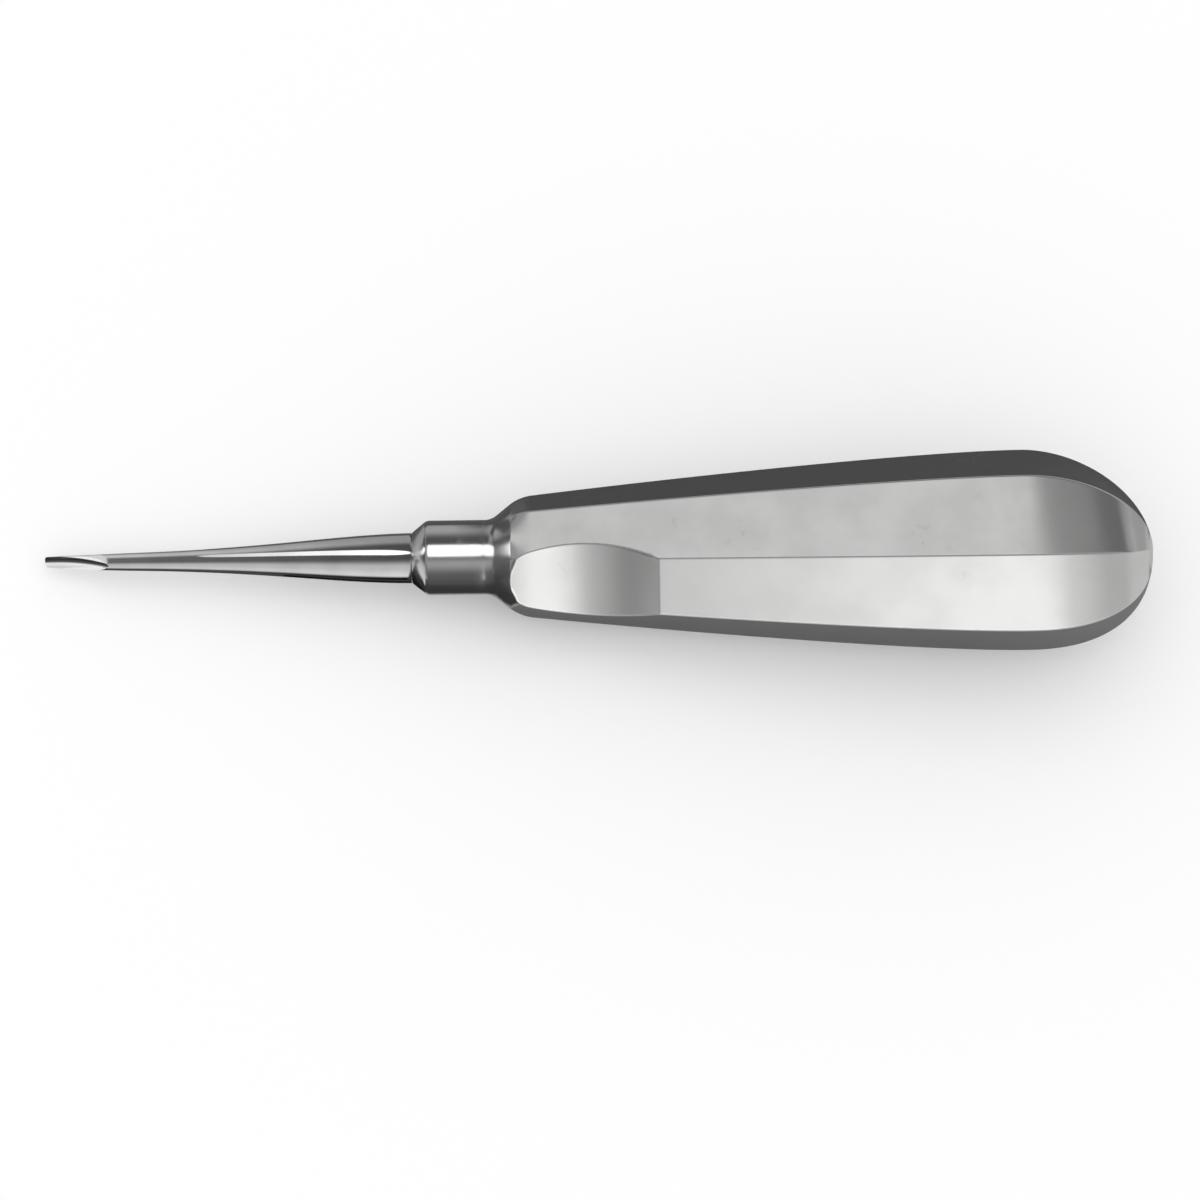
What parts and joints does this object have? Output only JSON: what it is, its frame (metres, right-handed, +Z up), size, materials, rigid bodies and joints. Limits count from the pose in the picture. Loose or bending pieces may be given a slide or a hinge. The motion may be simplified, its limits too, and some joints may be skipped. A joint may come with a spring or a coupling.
{
  "type": "straight dental elevator",
  "caption": "Straight dental elevator: a slim tapered steel shank with a fluted gouge blade, set in the collar of a hollow faceted pear-shaped handle with a ground thumb rest.",
  "frame": {"origin": "centre of the footprint at table level, with the instrument lying on one wide facet of its handle", "axes": "+X from the blade's tip towards the palm end, +Z up, -Y towards the side that the thumb rest turns to"},
  "size_m": [0.1398, 0.0246, 0.0238],
  "materials": {
    "satin_handle": "satin stainless steel, fine grain across the facets, softly worn ridges",
    "polished_working_end": "mirror-polished stainless steel with faint lengthwise polishing lines"
  },
  "bodies": {
    "root": {"handle": "satin_handle", "working_end": "polished_working_end"}
  },
  "joints": []
}
